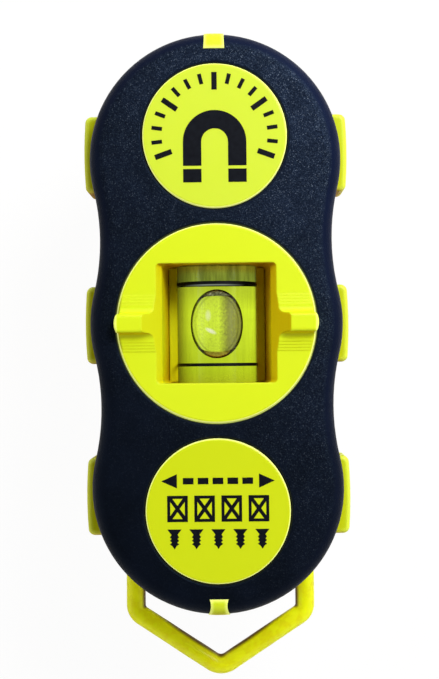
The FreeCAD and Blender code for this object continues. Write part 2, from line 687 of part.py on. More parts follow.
def lens(half_width, half_length, half_depth, y):
    """An ellipsoid just under the top of the bore."""
    ball = Part.makeSphere(1.0)
    stretch = FreeCAD.Matrix()
    stretch.scale(V(half_width, half_length, half_depth))
    ball = ball.transformGeometry(stretch)
    ball.translate(V(0, y, VIAL_Z + BORE_MID_RADIUS - half_depth * BUBBLE_SINK))
    return ball


def vial_bubble():
    """The gas bubble: an ellipsoid trimmed by the roundness of the bore above it."""
    shape = lens(BUBBLE_WIDTH / 2, BUBBLE_LENGTH / 2, BUBBLE_DEPTH / 2, 0)
    return one_solid(shape.common(vial_rod(BORE_MID_RADIUS - BUBBLE_TOP_GAP, BORE_HALF_LENGTH)))


def vial_fluid():
    """The liquid, less the channel that the bubble runs in."""
    grow, travel = 3 * FIT, BUBBLE_TRAVEL + 2 * FIT
    half_w, half_d = BUBBLE_WIDTH / 2 + grow, BUBBLE_DEPTH / 2 + grow
    centre_z = VIAL_Z + BORE_MID_RADIUS - BUBBLE_DEPTH / 2 * BUBBLE_SINK
    ends = []
    for y in (-travel, travel):
        ends.append(lens(half_w, BUBBLE_LENGTH / 2 + grow, half_d, y))
        ends[-1].translate(V(0, 0, grow * BUBBLE_SINK))
    ellipse = Part.Ellipse(V(0, -travel, centre_z), half_w, half_d)
    run = Part.Face(Part.Wire([ellipse.toShape()]))
    run.rotate(V(0, -travel, centre_z), X_AXIS, 90)
    channel = run.extrude(V(0, 2 * travel, 0))
    return one_solid(barrel(-FIT, BORE_HALF_LENGTH - FIT).cut(ends + [channel]))


# ---------------------------------------------------------------- magnets and pads


def magnet(y):
    slug = disc(MAGNET_RADIUS, MAGNET_Z, MAGNET_Z + MAGNET_THICK, 0, y)
    return slug.makeFillet(MAGNET_ROUND, end_circles(slug))


def foam_disc(y):
    foot = MAGNET_Z + MAGNET_THICK
    return disc(FOAM_RADIUS, foot + FIT, foot + FOAM_THICK - FIT, 0, y)


def felt_pad(y):
    pad = disc(FELT_RADIUS, 0, FELT_THICK - FIT, 0, y)
    return round_edges_at(pad, 0, FELT_ROUND)


# ---------------------------------------------------------------- screws


def cross_recess(z):
    """A cross recess that opens at height z and goes up into the head."""
    arm, half, top = CROSS_ARM, CROSS_WIDTH / 2, z + CROSS_DEPTH
    cone = Part.makeCone(CROSS_CONE_RADIUS, SCREW_TIP_RADIUS, top - z + CROSS_WIDTH, V(0, 0, z))
    return cone.fuse([box(-arm, arm, -half, half, z - EPS, top), box(-half, half, -arm, arm, z - EPS, top)])


def housing_screw():
    """One pan-head self-tapping screw, head down, at the origin of x and y."""
    head_top = SCREW_HEAD_Z + SCREW_HEAD_HEIGHT - FIT
    point_z = SCREW_END_Z - SCREW_POINT
    head = disc(SCREW_HEAD_RADIUS, SCREW_HEAD_Z, head_top)
    head = round_edges_at(head, SCREW_HEAD_Z, SCREW_HEAD_ROUND)
    shank = disc(SCREW_RADIUS, head_top - FIT, point_z)
    point = Part.makeCone(SCREW_RADIUS, SCREW_TIP_RADIUS, SCREW_POINT, V(0, 0, point_z))
    return one_solid(head.fuse([shank, point]).cut(cross_recess(SCREW_HEAD_Z)))


def housing_screws():
    screws = []
    for sx in (1, -1):
        for sy in (1, -1):
            screw = housing_screw()
            screw.translate(V(sx * SCREW_X, sy * SCREW_Y, 0))
            screws.append(screw)
    return Part.makeCompound(screws)


# ---------------------------------------------------------------- hanging bail


def bail_corners():
    """The bail's centre line as corner points and bend radii, from its +X eye to its -X eye."""
    drop = BAIL_HALF_WIDTH * math.tan(math.radians(BAIL_SLOPE))
    w, shoulder_y = BAIL_HALF_WIDTH, BAIL_TIP_Y + drop
    places = [
        (EYE_END_X, BAIL_Y, 0),
        (w, BAIL_Y, BAIL_EYE_BEND),
        (w, shoulder_y, BAIL_CORNER),
        (0, BAIL_TIP_Y, BAIL_TIP_ROUND),
        (-w, shoulder_y, BAIL_CORNER),
        (-w, BAIL_Y, BAIL_EYE_BEND),
        (-EYE_END_X, BAIL_Y, 0),
    ]
    return [(V(x, y, BAIL_Z), r) for x, y, r in places]


def bent_path(corners):
    """Straight runs joined by round bends, as a wire."""
    edges, start = [], corners[0][0]
    for i in range(1, len(corners) - 1):
        corner, radius = corners[i]
        back = (corners[i - 1][0] - corner).normalize()
        ahead = (corners[i + 1][0] - corner).normalize()
        half_angle = back.getAngle(ahead) / 2
        run = radius / math.tan(half_angle)
        middle = (back + ahead).normalize()
        centre = corner + middle * (radius / math.sin(half_angle))
        a, b = corner + back * run, corner + ahead * run
        edges += [Part.makeLine(start, a), arc(a, centre - middle * radius, b)]
        start = b
    edges.append(Part.makeLine(start, corners[-1][0]))
    return Part.Wire(edges)


def swept_rod(path, radius):
    first = path.Edges[0]
    start = first.valueAt(first.FirstParameter)
    along = first.tangentAt(first.FirstParameter)
    section = Part.Wire([Part.makeCircle(radius, start, along)])
    return path.makePipeShell([section], True, False)


def bail_wire():
    return swept_rod(bent_path(bail_corners()), WIRE_RADIUS - FIT)


def bail_sleeve():
    """The vinyl coat on the wire, from one eye bend to the other, with rounded ends."""
    corners = bail_corners()
    for i, side in ((0, 1), (-1, -1)):
        corners[i] = (V(side * SLEEVE_START_X, BAIL_Y, BAIL_Z), 0)
    path = bent_path(corners)
    coat = swept_rod(path, SLEEVE_RADIUS)
    return one_solid(coat.cut(swept_rod(bent_path(bail_corners()), WIRE_RADIUS)))


PARTS = {
    "front_cover": front_cover,
    "rear_housing": rear_housing,
    "upper_face_disc": lambda: face_disc(DISC_Y),
    "lower_face_disc": lambda: face_disc(-DISC_Y),
    "level_dial": level_dial,
    "dial_base": dial_base,
    "dial_friction_ring": dial_friction_ring,
    "vial_tube": vial_tube,
    "vial_plug": vial_plug,
    "vial_lines": vial_lines,
    "vial_fluid": vial_fluid,
    "vial_bubble": vial_bubble,
    "upper_magnet": lambda: magnet(MAGNET_Y),
    "lower_magnet": lambda: magnet(-MAGNET_Y),
    "upper_foam_disc": lambda: foam_disc(MAGNET_Y),
    "lower_foam_disc": lambda: foam_disc(-MAGNET_Y),
    "upper_felt_pad": lambda: felt_pad(MAGNET_Y),
    "lower_felt_pad": lambda: felt_pad(-MAGNET_Y),
    "housing_screws": housing_screws,
    "bail_wire": bail_wire,
    "bail_sleeve": bail_sleeve,
}


def main():
    os.makedirs("parts", exist_ok=True)
    for name, build in PARTS.items():
        shape = build()
        if not shape.isValid():
            print("not valid:", name)
        shape.exportStep(os.path.join("parts", name + ".step"))
        print(f"{name:20s} solids {len(shape.Solids)}  volume {shape.Volume:9.2f} mm3")


main()
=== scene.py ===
import json
import math

import bmesh
import bpy
from mathutils import Matrix, Vector, noise


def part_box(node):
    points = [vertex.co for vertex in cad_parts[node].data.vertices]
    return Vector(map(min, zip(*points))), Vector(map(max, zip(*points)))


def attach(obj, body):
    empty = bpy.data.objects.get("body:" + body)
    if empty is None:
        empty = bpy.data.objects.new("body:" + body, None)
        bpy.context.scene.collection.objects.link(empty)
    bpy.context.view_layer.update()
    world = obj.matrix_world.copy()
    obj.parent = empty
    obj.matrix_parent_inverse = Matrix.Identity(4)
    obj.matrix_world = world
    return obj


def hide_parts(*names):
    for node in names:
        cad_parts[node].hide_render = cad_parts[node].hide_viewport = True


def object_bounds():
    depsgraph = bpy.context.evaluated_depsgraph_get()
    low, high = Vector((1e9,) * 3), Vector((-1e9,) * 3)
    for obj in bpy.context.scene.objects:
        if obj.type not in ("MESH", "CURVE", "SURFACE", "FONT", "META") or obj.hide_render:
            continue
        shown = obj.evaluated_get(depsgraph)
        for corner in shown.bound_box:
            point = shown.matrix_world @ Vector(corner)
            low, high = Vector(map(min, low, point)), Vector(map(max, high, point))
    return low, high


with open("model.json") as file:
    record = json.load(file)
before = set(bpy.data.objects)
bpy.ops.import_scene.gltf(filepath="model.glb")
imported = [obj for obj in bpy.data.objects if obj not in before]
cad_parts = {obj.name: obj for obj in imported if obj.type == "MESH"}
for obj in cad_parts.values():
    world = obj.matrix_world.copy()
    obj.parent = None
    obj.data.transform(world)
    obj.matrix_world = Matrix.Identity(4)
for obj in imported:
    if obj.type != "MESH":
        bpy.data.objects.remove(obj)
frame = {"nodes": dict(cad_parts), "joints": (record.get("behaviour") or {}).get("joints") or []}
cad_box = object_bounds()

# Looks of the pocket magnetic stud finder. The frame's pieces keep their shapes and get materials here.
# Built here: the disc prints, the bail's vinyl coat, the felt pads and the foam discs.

MM = 0.001
NODES = frame["nodes"]
JOINTS = {joint["name"]: joint for joint in frame["joints"]}

# ---- the studio ----
CAMERA_PLACE = Vector((2.48, -5.59, 220.0)) * MM
CAMERA_AIM = Vector((0.418, -2.342, 20.0)) * MM
CAMERA_ROLL = math.radians(-0.58)
LENS_MM = 74.99
FLOOR_DROP = 20 * MM  # how far the floor lies under the back, clear of the bail's swing
FLOOR_HALF_SIZE = 1500 * MM
FLOOR_GLOW = 1.02  # brightness of the floor's own glow, which only the camera sees
FLOOR_GLOW_SHARE = 0.93  # share of that glow in what the camera sees of the floor
KEY_AZIMUTH, KEY_ELEVATION = math.radians(52), math.radians(50)
KEY_DISTANCE = 400 * MM
KEY_SIZE = 150 * MM
KEY_LIGHT = 0.58  # light on a face that looks up, as a share of a white world's
SKY_LIGHT = 0.80  # brightness of the ring of sky round the tool
SKY_OVERHEAD = 0.03
SKY_RING_END, SKY_OVERHEAD_START = 0.55, 0.85  # sines of the elevations between which the ring fades

# ---- colours, linear ----
YELLOW = (0.80, 0.95, 0.010)
# painted shade: the yellow turns gold, then brown, where less light reaches
YELLOW_SHADE = (0.74, 0.56, 0.002)
YELLOW_DEEP_SHADE = (0.44, 0.20, 0.001)
YELLOW_BY_LIGHT = ((0.0, YELLOW_DEEP_SHADE), (0.28, YELLOW_SHADE), (0.58, (0.67, 0.71, 0.002)))
# painted light: the upper disc's tone is lighter and bluer than the lower's, as it lies nearer the key
DISC_YELLOWS_AS_LIT = {"upper_face_disc": (0.74, 0.90, 0.045), "lower_face_disc": (0.72, 0.83, 0.008)}
# colour of the painted highlight along the yellow pieces' edges
PAINTED_EDGE_HIGHLIGHT = (0.92, 1.0, 0.30)
EDGE_SHINE = 0.35  # most light that the painted edge highlight gives off
EDGE_REACH = 0.6 * MM  # how far in from an edge the painted highlight goes
RIM_FULL, RIM_START = 0.02 * MM, 0.2 * MM  # how far in from a round face's edge the painted rim highlight is full, starts
PAINTED_SHADE_WEIGHT = 0.45  # how much painted shade a shade function's mask adds to the yellow; below 0 it adds painted light
NAVY = (0.0014, 0.0019, 0.0034)
NAVY_LIGHT = (0.0024, 0.0035, 0.0075)
NAVY_SHEEN = (0.35, 0.58, 1.0)
NAVY_EDGE_SHEEN = (0.002, 0.005, 0.028)  # painted sheen added on the cover's rounded edges, most on the side near the key
INK = (0.0030, 0.0036, 0.0070)
LIQUID_PAINTED_GLOW = (0.66, 0.86, 0.034)  # the liquid's colour, given off as painted light by the bore's far side
VINYL_PAINTED_LIGHT = 0.24  # painted light that the bail's coat gives off outside the loop

# ---- how the yellow plastic takes the light ----
OPEN_REACH = 9 * MM  # how near a wall has to be to shade a place
KEY_LEAN = 0.7  # how far the sky that a place sees is turned towards the key light
LEVEL_SLACK = 0.03  # a face this much less turned to the key than a level one counts as level
TURN_CAP = 0.15  # most that a turn towards the key counts
CLOUD_WANDER = 0.06  # how much slow noise moves the tone

# ---- the cover's painted glitter, where its grain catches the key light ----
GLITTER_AIM = (0.8, 0.6)  # the direction across the front in which it grows
GLITTER_START, GLITTER_END = -36 * MM, 34 * MM
FLAT_START, FLAT_FULL = 0.90, 0.985  # how upright the surface is where it starts and where it is full

# ---- the dial ----
DIAL_RADIUS = 14.1 * MM
DIAL_FACE_Z = 20.3 * MM
WINDOW_REACH = 11 * MM  # how far out the slope round the window goes, at the wings

# ---- the vial ----
VIAL_LOW, VIAL_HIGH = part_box("vial_tube")
VIAL_Z = (VIAL_LOW.z + VIAL_HIGH.z) / 2
VIAL_RADIUS = (VIAL_HIGH.z - VIAL_LOW.z) / 2
BORE_RADIUS = (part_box("vial_fluid")[1].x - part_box("vial_fluid")[0].x) / 2
LINE_HALF_WIDTH = 0.23 * MM
LINE_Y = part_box("vial_lines")[1].y - LINE_HALF_WIDTH
LINE_SEEN_THROUGH = 0.44 * MM  # how far the line's far side shows below its near side
TINT_HALF_LENGTH = 8.4 * MM  # half the stretch of tube over which its painted reflection and shade run
ACRYLIC_INDEX = 1.49
LIQUID_INDEX = 1.45

# ---- the two painted lamp highlights on the bubble: place, half widths and brightness ----
UPPER_LAMP, UPPER_LAMP_SIZE = (-1.15 * MM, 1.2 * MM), (0.45 * MM, 0.95 * MM)
LOWER_LAMP, LOWER_LAMP_SIZE = (-0.8 * MM, -1.4 * MM), (0.85 * MM, 0.4 * MM)
UPPER_LAMP_SHINE, LOWER_LAMP_SHINE = 0.4, 0.8
LOWER_LAMP_SLANT = 0.45  # how steeply the lower lamp's long side slopes

# ---- the bail's coat ----
COAT_RADIUS = 1.5 * MM
COAT_THINNING = 0.07 * MM  # how much thinner the dipped vinyl is at the eyes than at the tip
BAIL_SLOPE = math.radians(33.4)
BAIL_CORNER = 2.0 * MM
BAIL_TIP_ROUND = 2.4 * MM
BAIL_EYE_RUN = 2.5 * MM  # how far the coat goes in along each eye
COAT_GAP = 0.3 * MM  # from one ring of the coat's mesh to the next
COAT_WAVE, COAT_WAVE_LENGTH = 0.02 * MM, 2.2 * MM

# ---- the disc prints ----
INK_THICK = 0.02 * MM  # above the disc
INK_SINK = 0.01 * MM  # into the disc


# ---------------------------------------------------------------- material helpers


class Shader:
    """A new material and short ways to add and join its nodes."""

    def __init__(self, name):
        self.material = bpy.data.materials.new(name)
        self.material.use_nodes = True
        self.tree = self.material.node_tree
        self.bsdf = self.tree.nodes["Principled BSDF"]
        self.output = self.tree.nodes["Material Output"]

    def node(self, kind, inputs=None, **settings):
        """Adds a node. Settings are its properties; inputs go by socket name."""
        n = self.tree.nodes.new("ShaderNode" + kind)
        for key, value in settings.items():
            setattr(n, key, value)
        for name, value in (inputs or {}).items():
            self.put(n.inputs[name], value)
        return n

    def put(self, socket, value):
        """Sets an input to a value, or joins it to another node's output."""
        if isinstance(value, bpy.types.NodeSocket):
            self.tree.links.new(value, socket)
        elif isinstance(value, tuple) and len(value) == 3 and socket.type == "RGBA":
            socket.default_value = (*value, 1.0)
        else:
            socket.default_value = value

    def set(self, **inputs):
        """Sets inputs of the Principled BSDF: base_color, roughness and so on."""
        for key, value in inputs.items():
            self.put(self.bsdf.inputs[key.replace("_", " ").title().replace("Ior", "IOR")], value)

    def place(self):
        """Object coordinates, in metres, which move with the piece."""
        return self.node("TexCoord").outputs["Object"]

    def axes(self):
        """The object coordinates one by one."""
        return self.node("SeparateXYZ", {"Vector": self.place()}).outputs

    def noise(self, scale, detail=2.0, rough=0.5, vector=None):
        """Soft noise round 0.5, at a number of waves a metre."""
        n = self.node("TexNoise", {"Scale": scale, "Detail": detail, "Roughness": rough})
        self.put(n.inputs["Vector"], vector or self.place())
        return n.outputs["Fac"]

    def stretched(self, scale):
        """Object coordinates scaled by a vector, for streaks."""
        return self.node("Mapping", {"Vector": self.place(), "Scale": scale}).outputs["Vector"]

    def ramp(self, factor, *stops):
        """A colour ramp through (position, colour) stops."""
        n = self.node("ValToRGB")
        elements = n.color_ramp.elements
        while len(elements) < len(stops):
            elements.new(0.5)
        for element, (position, colour) in zip(elements, stops):
            element.position = position
            element.color = (*colour, 1.0) if isinstance(colour, tuple) else (colour,) * 3 + (1.0,)
        self.put(n.inputs["Fac"], factor)
        return n.outputs["Color"]

    def mix(self, factor, a, b, blend="MIX"):
        """Colour a where the factor is 0, and b, or a blended with b, where it is 1."""
        n = self.node("MixRGB", blend_type=blend)
        for socket, value in zip(n.inputs, (factor, a, b)):
            self.put(socket, value)
        return n.outputs["Color"]

    def mix_shaders(self, factor, a, b):
        """Shader a where the factor is 0, and b where it is 1."""
        n = self.node("MixShader")
        for socket, value in zip(n.inputs, (factor, a, b)):
            self.put(socket, value)
        return n.outputs[0]

    def math(self, operation, a, b=0.0, clamp=False):
        """One arithmetic step on one or two values. Clamp keeps the result from 0 to 1."""
        n = self.node("Math", operation=operation, use_clamp=clamp)
        self.put(n.inputs[0], a)
        self.put(n.inputs[1], b)
        return n.outputs["Value"]

    def span(self, value, low, high):
        """A value's place between low and high, as 0 to 1."""
        n = self.node("MapRange", {"Value": value, "From Min": low, "From Max": high})
        return n.outputs["Result"]

    def facing_key(self):
        """The cosine between the surface and the key light."""
        n = self.node("VectorMath", operation="DOT_PRODUCT")
        self.put(n.inputs[0], self.node("NewGeometry").outputs["Normal"])
        n.inputs[1].default_value = towards_key()
        return n.outputs["Value"]

    def leaning_normal(self):
        """The surface's normal, leant towards the key light."""
        sum_of = self.node("VectorMath", operation="ADD")
        self.put(sum_of.inputs[0], self.node("NewGeometry").outputs["Normal"])
        sum_of.inputs[1].default_value = towards_key() * KEY_LEAN
        unit = self.node("VectorMath", operation="NORMALIZE")
        self.put(unit.inputs[0], sum_of.outputs["Vector"])
        return unit.outputs["Vector"]

    def openness(self, cloud, reach=OPEN_REACH, turn=0.5):
        """How much light a place gets: 1 in the open, near 0 in a hollow that looks away from the key."""
        occlusion = self.node("AmbientOcclusion", {"Distance": reach}, samples=8)
        self.put(occlusion.inputs["Normal"], self.leaning_normal())
        level = math.sin(KEY_ELEVATION) - LEVEL_SLACK
        turned = self.math("MINIMUM", self.math("SUBTRACT", self.facing_key(), level), TURN_CAP)
        wander = self.math("MULTIPLY", self.math("SUBTRACT", cloud, 0.5), CLOUD_WANDER)
        lit = self.math("ADD", occlusion.outputs["AO"], self.math("MULTIPLY", turned, turn))
        return self.math("ADD", lit, wander)

    def bump(self, height, strength, distance, normal=None):
        """A normal roughened by a height, on top of another normal if one is given."""
        n = self.node("Bump", {"Height": height, "Strength": strength, "Distance": distance})
        if normal is not None:
            self.put(n.inputs["Normal"], normal)
        return n.outputs["Normal"]

    def finish(self, surface):
        """Puts a shader other than the Principled BSDF on the material's surface."""
        self.tree.nodes.remove(self.bsdf)
        self.put(self.output.inputs["Surface"], surface)


def paint(target, shader):
    """Gives an object, or a CAD node by name, one material."""
    target = NODES[target] if isinstance(target, str) else target
    target.data.materials.clear()
    target.data.materials.append(shader.material)


# ---------------------------------------------------------------- materials


def navy_plastic():
    """Dark blue plastic with a fine bumped grain. The glitter of its flat front is painted light, most on the
    side near the key light, and its rounded edges get a painted sheen.
    """
    s = Shader("navy_plastic")
    grain = s.noise(3400.0, 3.0, 0.65)
    cells = s.node("TexVoronoi", {"Scale": 8500.0, "Vector": s.place()})
    random = s.node("SeparateColor", {"Color": cells.outputs["Color"]}).outputs["Red"]
    cloud = s.noise(160.0, 2.0)
    x, y, _ = s.axes()
    # painted glitter: bright specks, strongest across the front towards the key, on the flat front only
    across = s.math("ADD", s.math("MULTIPLY", x, GLITTER_AIM[0]), s.math("MULTIPLY", y, GLITTER_AIM[1]))
    near_key = s.span(across, GLITTER_START, GLITTER_END)
    upright = s.node("SeparateXYZ", {"Vector": s.node("NewGeometry").outputs["Normal"]}).outputs["Z"]
    flat = s.span(upright, FLAT_START, FLAT_FULL)
    patches = s.ramp(s.noise(420.0, 2.0), (0.35, 0.65), (0.65, 1.0))
    lit = s.math("ADD", s.math("POWER", near_key, 2.0), 0.02)
    amount = s.math("MULTIPLY", s.math("MULTIPLY", lit, flat), patches)
    painted_glints = s.ramp(
        random,
        (0.0, (0.002, 0.004, 0.010)), (0.5, (0.008, 0.014, 0.034)), (0.84, (0.024, 0.038, 0.070)),
        (0.96, (0.065, 0.090, 0.135)), (1.0, (0.16, 0.20, 0.27)),
    )
    base = s.ramp(cloud, (0.35, NAVY), (0.7, NAVY_LIGHT))
    # painted sheen on the rounded edges, most near the key
    edge = s.math("MULTIPLY", lit, s.math("SUBTRACT", 1.0, flat))
    base = s.mix(edge, base, NAVY_EDGE_SHEEN, "ADD")
    s.set(base_color=s.mix(amount, base, painted_glints, "ADD"))
    s.set(roughness=0.46, specular_ior_level=0.13, specular_tint=NAVY_SHEEN)
    coarse = s.bump(cells.outputs["Distance"], 0.4, 0.05 * MM)
    s.set(normal=s.bump(grain, 0.75, 0.07 * MM, coarse))
    return s


def yellow_plastic(name="yellow_plastic", grain=0.2, rough=0.42, open_tone=YELLOW, edge=None, painted_shade=None):
    """Fluorescent yellow plastic. A painted highlight, pale and giving off light, runs along its edges, and
    painted shade turns it gold and brown in hollows.

    The edge and shade functions take the shader: the first says where the painted edge highlight goes, the
    second where more painted shade goes, or painted light where it is below 0. Without an edge function, the
    piece's own sharp edges get the highlight."""
    s = Shader(name)
    fine = s.noise(2200.0, 2.0)
    cloud = s.noise(90.0, 2.0)
    lit = s.openness(cloud)
    soft = s.node("Bevel", {"Radius": 0.35 * MM}, samples=6).outputs["Normal"]
    # more painted shade from the shade function, or painted light where it is below 0, as on the cradle
    if painted_shade:
        lit = s.math("SUBTRACT", lit, s.math("MULTIPLY", painted_shade(s, soft), PAINTED_SHADE_WEIGHT))
    # painted shade from the light a place gets: gold, then brown
    colour = s.ramp(lit, *YELLOW_BY_LIGHT, (0.86, open_tone))
    # painted highlight along the edges: a pale colour, and light given off
    glow = (edge or sharp_edges)(s)
    s.set(base_color=s.mix(glow, colour, PAINTED_EDGE_HIGHLIGHT))
    shine = s.math("MINIMUM", s.math("MULTIPLY", glow, 2 * EDGE_SHINE), EDGE_SHINE)
    s.set(emission_color=PAINTED_EDGE_HIGHLIGHT, emission_strength=shine)
    s.set(roughness=s.math("ADD", rough - 0.06, s.math("MULTIPLY", cloud, 0.12)))
    s.set(normal=s.bump(fine, grain, 0.03 * MM, soft))
    s.set(subsurface_weight=0.15, subsurface_radius=(0.8 * MM, 0.9 * MM, 0.1 * MM), subsurface_scale=1.0)
    s.set(specular_ior_level=s.ramp(lit, (0.4, 0.02), (0.9, 0.34)))
    return s


def no_edges(_):
    """No painted edge highlight."""
    return 0.0


def sharp_edges(s):
    """More than 0 near a piece's outer edges, where the painted highlight goes."""
    inside = s.node("AmbientOcclusion", {"Distance": EDGE_REACH}, samples=6, inside=True, only_local=True)
    return s.ramp(inside.outputs["AO"], (0.45, 0.6), (0.95, 0.0))


def round_edge(s, centre_y, radius):
    """1 at the rim of a round face, or of a pair of them that stand as far out along Y and -Y."""
    x, y, _ = s.axes()
    off_y = s.math("SUBTRACT", s.math("ABSOLUTE", y), centre_y) if centre_y else y
    squares = s.math("ADD", s.math("MULTIPLY", x, x), s.math("MULTIPLY", off_y, off_y))
    return s.span(s.math("SQRT", squares), radius - RIM_START, radius - RIM_FULL)


def dial_edge(s):
    """The dial's painted rim highlight, weaker on the wings' tips."""
    below_wings = s.math("LESS_THAN", s.axes()[2], DIAL_FACE_Z + 0.1 * MM)
    strength = s.math("ADD", s.math("MULTIPLY", below_wings, 0.65), 0.35)
    return s.math("MULTIPLY", round_edge(s, 0.0, DIAL_RADIUS), strength)


def cradle_light(s, _):
    """Negative where the light that crosses the window falls on the cradle, most on its -X side."""
    on_far_side = s.math("GREATER_THAN", s.axes()[0], 0.0)
    return s.math("SUBTRACT", s.math("MULTIPLY", on_far_side, 0.5), 0.7)


def window_slope(s, normal):
    """1 where the dial slopes down to its window, where the yellow gets painted shade."""
    own = s.node(
        "VectorTransform", {"Vector": normal}, vector_type="NORMAL", convert_from="WORLD", convert_to="OBJECT"
    )
    lean = s.node("SeparateXYZ", {"Vector": own.outputs["Vector"]}).outputs
    x = s.axes()[0]
    inward = s.math("MULTIPLY", s.math("MULTIPLY", s.math("SIGN", x), lean["X"]), -1.0)
    near = s.math("LESS_THAN", s.math("ABSOLUTE", x), WINDOW_REACH)
    sloping = s.math("MULTIPLY", s.span(inward, 0.02, 0.6), s.span(lean["Z"], 0.1, 0.5))
    return s.math("MULTIPLY", sloping, near)


def ink():
    """Pad-printed black ink, a little uneven."""
    s = Shader("black_print")
    patch = s.noise(1500.0, 3.0, 0.6)
    s.set(base_color=s.ramp(patch, (0.3, INK), (0.8, (0.006, 0.008, 0.013))))
    s.set(roughness=s.ramp(patch, (0.2, 0.38), (0.9, 0.55)))
    s.set(normal=s.bump(patch, 0.25, 0.01 * MM), specular_ior_level=0.12)
    return s


def metal(name, colour, rough, streak=(1.0, 1.0, 1.0), scale=900.0):
    """Plated or bare steel, with fine streaks along the direction that streak shrinks."""
    s = Shader(name)
    lines = s.noise(scale, 4.0, 0.6, s.stretched(streak))
    dark = tuple(c * 0.72 for c in colour)
    s.set(base_color=s.ramp(lines, (0.3, dark), (0.65, colour)), metallic=1.0)
    s.set(roughness=s.ramp(lines, (0.2, rough * 0.8), (0.8, rough * 1.35)))
    s.set(normal=s.bump(lines, 0.15, 0.01 * MM))
    return s


def soft_black(name, colour, scale, depth):
    """Rubber, foam or felt: dark, matte and uneven at the given grain."""
    s = Shader(name)
    grain = s.noise(scale, 5.0, 0.7)
    s.set(base_color=s.ramp(grain, (0.3, tuple(c * 0.5 for c in colour)), (0.7, colour)))
    s.set(roughness=0.85, normal=s.bump(grain, 0.8, depth))
    return s


def vinyl():
    """Dipped vinyl on the bail: deep yellow, smooth, with slow waves. Painted shade turns it gold where less
    light reaches and brown inside the loop; outside the loop it gives off painted light.
    """
    s = Shader("yellow_vinyl")
    cloud = s.noise(260.0, 3.0, 0.55)
    colour = s.ramp(cloud, (0.3, (0.72, 0.74, 0.003)), (0.7, (0.86, 0.93, 0.006)))
    # painted shade: gold where less light reaches
    lit = s.span(s.openness(cloud, reach=5 * MM, turn=0.35), 0.4, 0.75)
    shade = s.mix(lit, (0.56, 0.42, 0.002), colour)
    # painted shade: brown on the sides that face the loop's middle
    low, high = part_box("bail_sleeve")
    to_middle = s.node("VectorMath", operation="SUBTRACT")
    to_middle.inputs[0].default_value = (0.0, (low.y + high.y) / 2, (low.z + high.z) / 2)
    s.put(to_middle.inputs[1], s.place())
    unit = s.node("VectorMath", operation="NORMALIZE")
    s.put(unit.inputs[0], to_middle.outputs["Vector"])
    facing = s.node("VectorMath", operation="DOT_PRODUCT")
    s.put(facing.inputs[0], s.node("TexCoord").outputs["Normal"])
    s.put(facing.inputs[1], unit.outputs["Vector"])
    inner = s.ramp(facing.outputs["Value"], (0.55, 0.0), (0.84, 0.95))
    blotches = s.ramp(s.noise(700.0, 3.0, 0.6), (0.35, 0.6), (0.6, 0.0))
    golden = s.mix(blotches, shade, (0.66, 0.52, 0.002))
    s.set(base_color=s.mix(inner, golden, (0.13, 0.045, 0.001)))
    # painted light given off outside the loop
    s.set(emission_color=(0.86, 0.92, 0.004))
    s.set(emission_strength=s.math("MULTIPLY", s.math("SUBTRACT", 1.0, inner), VINYL_PAINTED_LIGHT))
    s.set(roughness=s.ramp(cloud, (0.2, 0.3), (0.8, 0.42)))
    s.set(normal=s.bump(cloud, 0.3, 0.15 * MM), specular_ior_level=0.25)
    s.set(subsurface_weight=0.25, subsurface_radius=(0.8 * MM, 0.7 * MM, 0.05 * MM), subsurface_scale=1.0)
    return s


def let_light_through(s, surface, tint):
    """A see-through surface for the eye that passes shadow and diffuse light straight on."""
    path = s.node("LightPath")
    lit = s.math("MAXIMUM", path.outputs["Is Shadow Ray"], path.outputs["Is Diffuse Ray"])
    clear = s.node("BsdfTransparent", {"Color": tint})
    s.finish(s.mix_shaders(lit, surface, clear.outputs[0]))


def is_above_axis(s, z):
    """1 on the vial's front half."""
    return s.math("GREATER_THAN", z, VIAL_Z)


def axis_distance(s, x, z):
    """Distance from the vial's axis."""
    rise = s.math("SUBTRACT", z, VIAL_Z)
    squares = s.math("ADD", s.math("MULTIPLY", x, x), s.math("MULTIPLY", rise, rise))
    return s.math("SQRT", squares)


